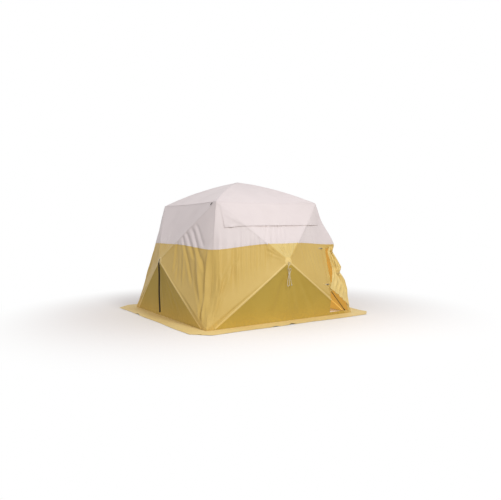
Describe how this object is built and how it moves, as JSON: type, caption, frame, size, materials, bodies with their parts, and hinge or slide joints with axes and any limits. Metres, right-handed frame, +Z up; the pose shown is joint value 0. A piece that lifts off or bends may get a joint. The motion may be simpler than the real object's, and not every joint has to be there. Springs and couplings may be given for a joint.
{
  "type": "work tent",
  "caption": "Square pop-up work tent: a hub and four rods push each wall and the roof outwards; white top, yellow base, ground skirt, flap window and side door.",
  "frame": {"origin": "middle of the base, on the ground", "axes": "+Z up, -Y out of the front wall, which has the window flap and the door"},
  "size_m": [2.98, 2.98, 1.9815],
  "materials": {
    "white_fabric": "coated plain-weave polyester, satin",
    "yellow_fabric": "coated plain-weave polyester, satin",
    "skirt_fabric": "coated fabric, matt",
    "window_net": "fine net",
    "rod": "pultruded glass fibre, satin",
    "black_plastic": "moulded nylon",
    "rubber": "moulded rubber",
    "ring_steel": "welded steel wire",
    "black_webbing": "woven polypropylene",
    "white_rope": "braided cord"
  },
  "bodies": {
    "shell": {"roof_canopy": "white_fabric", "upper_wall_front": "white_fabric", "upper_wall_right": "white_fabric", "upper_wall_back": "white_fabric", "upper_wall_left": "white_fabric", "lower_wall_front": "yellow_fabric", "lower_wall_right": "yellow_fabric", "lower_wall_back": "yellow_fabric", "lower_wall_left": "yellow_fabric", "ground_skirt_front": "skirt_fabric", "ground_skirt_right": "skirt_fabric", "ground_skirt_back": "skirt_fabric", "ground_skirt_left": "skirt_fabric", "window_mesh": "window_net", "door_toggle_upper": "black_plastic", "door_toggle_lower": "black_plastic", "roof_hub": "black_plastic"},
    "front_hub": {"front_hub": "black_plastic", "front_ring": "ring_steel"},
    "front_upper_left_rod": {"front_upper_left_rod": "rod"},
    "front_lower_left_rod": {"front_lower_left_rod": "rod", "front_left_rod_boot": "rubber"},
    "front_upper_right_rod": {"front_upper_right_rod": "rod"},
    "front_lower_right_rod": {"front_lower_right_rod": "rod", "front_right_rod_boot": "rubber"},
    "right_hub": {"right_hub": "black_plastic"},
    "right_upper_left_rod": {"right_upper_left_rod": "rod"},
    "right_lower_left_rod": {"right_lower_left_rod": "rod", "right_left_rod_boot": "rubber"},
    "right_upper_right_rod": {"right_upper_right_rod": "rod"},
    "right_lower_right_rod": {"right_lower_right_rod": "rod", "right_right_rod_boot": "rubber"},
    "back_hub": {"back_hub": "black_plastic"},
    "back_upper_left_rod": {"back_upper_left_rod": "rod"},
    "back_lower_left_rod": {"back_lower_left_rod": "rod", "back_left_rod_boot": "rubber"},
    "back_upper_right_rod": {"back_upper_right_rod": "rod"},
    "back_lower_right_rod": {"back_lower_right_rod": "rod", "back_right_rod_boot": "rubber"},
    "left_hub": {"left_hub": "black_plastic", "left_ring": "ring_steel"},
    "left_upper_left_rod": {"left_upper_left_rod": "rod"},
    "left_lower_left_rod": {"left_lower_left_rod": "rod", "left_left_rod_boot": "rubber"},
    "left_upper_right_rod": {"left_upper_right_rod": "rod"},
    "left_lower_right_rod": {"left_lower_right_rod": "rod", "left_right_rod_boot": "rubber"},
    "roof_rod_front_left": {"roof_rod_front_left": "rod", "top_fitting_front_left": "rubber"},
    "roof_rod_front_right": {"roof_rod_front_right": "rod", "top_fitting_front_right": "rubber"},
    "roof_rod_back_right": {"roof_rod_back_right": "rod", "top_fitting_back_right": "rubber"},
    "roof_rod_back_left": {"roof_rod_back_left": "rod", "top_fitting_back_left": "rubber"},
    "window_flap": {"window_flap": "white_fabric"},
    "door_flap": {"door_flap": "yellow_fabric"},
    "pull_strap": {"pull_strap": "black_webbing"},
    "rope_hank": {"rope_hank": "white_rope"}
  },
  "joints": [
    {"name": "front_hub_swing", "type": "hinge", "parent": "shell", "child": "front_hub", "pos_m": [0, -1.24237, 1.93237], "axis": [1, 0, 0], "range_deg": [0, 90], "deforming": ["roof_canopy", "upper_wall_front", "upper_wall_right", "upper_wall_back", "upper_wall_left", "lower_wall_front", "lower_wall_right", "lower_wall_back", "lower_wall_left", "ground_skirt_front", "ground_skirt_right", "ground_skirt_back", "ground_skirt_left", "window_mesh", "window_flap", "door_flap", "rope_hank"]},
    {"name": "front_upper_left_rod_hinge", "type": "hinge", "parent": "front_hub", "child": "front_upper_left_rod", "pos_m": [-0.03251, -1.277, 0.85111], "axis": [0.6914, 0, 0.7225], "range_deg": [0, 111.61]},
    {"name": "front_lower_left_rod_hinge", "type": "hinge", "parent": "front_hub", "child": "front_lower_left_rod", "pos_m": [-0.03635, -1.277, 0.79347], "axis": [-0.5895, 0, 0.8078], "range_deg": [0, 92.98]},
    {"name": "front_upper_right_rod_hinge", "type": "hinge", "parent": "front_hub", "child": "front_upper_right_rod", "pos_m": [0.03251, -1.277, 0.85111], "axis": [0.6914, 0, -0.7225], "range_deg": [0, 111.61]},
    {"name": "front_lower_right_rod_hinge", "type": "hinge", "parent": "front_hub", "child": "front_lower_right_rod", "pos_m": [0.03635, -1.277, 0.79347], "axis": [-0.5895, 0, -0.8078], "range_deg": [0, 92.98]},
    {"name": "right_hub_swing", "type": "hinge", "parent": "shell", "child": "right_hub", "pos_m": [1.05737, 0, 1.74737], "axis": [0, 1, 0], "range_deg": [0, 90]},
    {"name": "right_upper_left_rod_hinge", "type": "hinge", "parent": "right_hub", "child": "right_upper_left_rod", "pos_m": [1.277, -0.03251, 0.85111], "axis": [0, 0.6914, 0.7225], "range_deg": [0, 111.61]},
    {"name": "right_lower_left_rod_hinge", "type": "hinge", "parent": "right_hub", "child": "right_lower_left_rod", "pos_m": [1.277, -0.03635, 0.79347], "axis": [0, -0.5895, 0.8078], "range_deg": [0, 92.98]},
    {"name": "right_upper_right_rod_hinge", "type": "hinge", "parent": "right_hub", "child": "right_upper_right_rod", "pos_m": [1.277, 0.03251, 0.85111], "axis": [0, 0.6914, -0.7225], "range_deg": [0, 111.61]},
    {"name": "right_lower_right_rod_hinge", "type": "hinge", "parent": "right_hub", "child": "right_lower_right_rod", "pos_m": [1.277, 0.03635, 0.79347], "axis": [0, -0.5895, -0.8078], "range_deg": [0, 92.98]},
    {"name": "back_hub_swing", "type": "hinge", "parent": "shell", "child": "back_hub", "pos_m": [0, 1.24237, 1.93237], "axis": [-1, 0, 0], "range_deg": [0, 90]},
    {"name": "back_upper_left_rod_hinge", "type": "hinge", "parent": "back_hub", "child": "back_upper_left_rod", "pos_m": [0.03251, 1.277, 0.85111], "axis": [-0.6914, 0, 0.7225], "range_deg": [0, 111.61]},
    {"name": "back_lower_left_rod_hinge", "type": "hinge", "parent": "back_hub", "child": "back_lower_left_rod", "pos_m": [0.03635, 1.277, 0.79347], "axis": [0.5895, 0, 0.8078], "range_deg": [0, 92.98]},
    {"name": "back_upper_right_rod_hinge", "type": "hinge", "parent": "back_hub", "child": "back_upper_right_rod", "pos_m": [-0.03251, 1.277, 0.85111], "axis": [-0.6914, 0, -0.7225], "range_deg": [0, 111.61]},
    {"name": "back_lower_right_rod_hinge", "type": "hinge", "parent": "back_hub", "child": "back_lower_right_rod", "pos_m": [-0.03635, 1.277, 0.79347], "axis": [0.5895, 0, -0.8078], "range_deg": [0, 92.98]},
    {"name": "left_hub_swing", "type": "hinge", "parent": "shell", "child": "left_hub", "pos_m": [-1.05737, 0, 1.74737], "axis": [0, -1, 0], "range_deg": [0, 90]},
    {"name": "left_upper_left_rod_hinge", "type": "hinge", "parent": "left_hub", "child": "left_upper_left_rod", "pos_m": [-1.277, 0.03251, 0.85111], "axis": [0, -0.6914, 0.7225], "range_deg": [0, 111.61]},
    {"name": "left_lower_left_rod_hinge", "type": "hinge", "parent": "left_hub", "child": "left_lower_left_rod", "pos_m": [-1.277, 0.03635, 0.79347], "axis": [0, 0.5895, 0.8078], "range_deg": [0, 92.98]},
    {"name": "left_upper_right_rod_hinge", "type": "hinge", "parent": "left_hub", "child": "left_upper_right_rod", "pos_m": [-1.277, -0.03251, 0.85111], "axis": [0, -0.6914, -0.7225], "range_deg": [0, 111.61]},
    {"name": "left_lower_right_rod_hinge", "type": "hinge", "parent": "left_hub", "child": "left_lower_right_rod", "pos_m": [-1.277, -0.03635, 0.79347], "axis": [0, 0.5895, -0.8078], "range_deg": [0, 92.98]},
    {"name": "roof_rod_front_left_hinge", "type": "hinge", "parent": "shell", "child": "roof_rod_front_left", "pos_m": [-0.03182, -0.03182, 1.94773], "axis": [0.7071, -0.7071, 0], "range_deg": [0, 73.95]},
    {"name": "roof_rod_front_right_hinge", "type": "hinge", "parent": "shell", "child": "roof_rod_front_right", "pos_m": [0.03182, -0.03182, 1.94773], "axis": [0.7071, 0.7071, 0], "range_deg": [0, 73.95]},
    {"name": "roof_rod_back_right_hinge", "type": "hinge", "parent": "shell", "child": "roof_rod_back_right", "pos_m": [0.03182, 0.03182, 1.94773], "axis": [-0.7071, 0.7071, 0], "range_deg": [0, 73.95]},
    {"name": "roof_rod_back_left_hinge", "type": "hinge", "parent": "shell", "child": "roof_rod_back_left", "pos_m": [-0.03182, 0.03182, 1.94773], "axis": [-0.7071, -0.7071, 0], "range_deg": [0, 73.95]},
    {"name": "window_flap_lift", "type": "hinge", "parent": "front_upper_left_rod", "child": "window_flap", "pos_m": [0, -0.8521, 1.6352], "axis": [-1, 0, 0], "range_deg": [0, 110]},
    {"name": "door_flap_swing", "type": "hinge", "parent": "front_upper_right_rod", "child": "door_flap", "pos_m": [0.99356, -0.99356, 1], "axis": [0.2157, -0.2157, -0.9524], "range_deg": [0, 70]},
    {"name": "pull_strap_hang", "type": "hinge", "parent": "left_hub", "child": "pull_strap", "pos_m": [-1.32226, 0, 0.784], "axis": [0, 1, 0], "range_deg": [0, 90]},
    {"name": "rope_hank_hang", "type": "hinge", "parent": "front_hub", "child": "rope_hank", "pos_m": [0, -1.32226, 0.784], "axis": [-1, 0, 0], "range_deg": [0, 90]}
  ],
  "couplings": [
    {"joint": "front_upper_left_rod_hinge", "follows": "front_hub_swing", "ratio": 1.2401},
    {"joint": "front_lower_left_rod_hinge", "follows": "front_hub_swing", "ratio": 1.0331},
    {"joint": "front_upper_right_rod_hinge", "follows": "front_hub_swing", "ratio": 1.2401},
    {"joint": "front_lower_right_rod_hinge", "follows": "front_hub_swing", "ratio": 1.0331},
    {"joint": "right_hub_swing", "follows": "front_hub_swing", "ratio": 1},
    {"joint": "right_upper_left_rod_hinge", "follows": "front_hub_swing", "ratio": 1.2401},
    {"joint": "right_lower_left_rod_hinge", "follows": "front_hub_swing", "ratio": 1.0331},
    {"joint": "right_upper_right_rod_hinge", "follows": "front_hub_swing", "ratio": 1.2401},
    {"joint": "right_lower_right_rod_hinge", "follows": "front_hub_swing", "ratio": 1.0331},
    {"joint": "back_hub_swing", "follows": "front_hub_swing", "ratio": 1},
    {"joint": "back_upper_left_rod_hinge", "follows": "front_hub_swing", "ratio": 1.2401},
    {"joint": "back_lower_left_rod_hinge", "follows": "front_hub_swing", "ratio": 1.0331},
    {"joint": "back_upper_right_rod_hinge", "follows": "front_hub_swing", "ratio": 1.2401},
    {"joint": "back_lower_right_rod_hinge", "follows": "front_hub_swing", "ratio": 1.0331},
    {"joint": "left_hub_swing", "follows": "front_hub_swing", "ratio": 1},
    {"joint": "left_upper_left_rod_hinge", "follows": "front_hub_swing", "ratio": 1.2401},
    {"joint": "left_lower_left_rod_hinge", "follows": "front_hub_swing", "ratio": 1.0331},
    {"joint": "left_upper_right_rod_hinge", "follows": "front_hub_swing", "ratio": 1.2401},
    {"joint": "left_lower_right_rod_hinge", "follows": "front_hub_swing", "ratio": 1.0331},
    {"joint": "roof_rod_front_left_hinge", "follows": "front_hub_swing", "ratio": 0.82163},
    {"joint": "roof_rod_front_right_hinge", "follows": "front_hub_swing", "ratio": 0.82163},
    {"joint": "roof_rod_back_right_hinge", "follows": "front_hub_swing", "ratio": 0.82163},
    {"joint": "roof_rod_back_left_hinge", "follows": "front_hub_swing", "ratio": 0.82163},
    {"joint": "pull_strap_hang", "follows": "front_hub_swing", "ratio": 1},
    {"joint": "rope_hank_hang", "follows": "front_hub_swing", "ratio": 1}
  ]
}
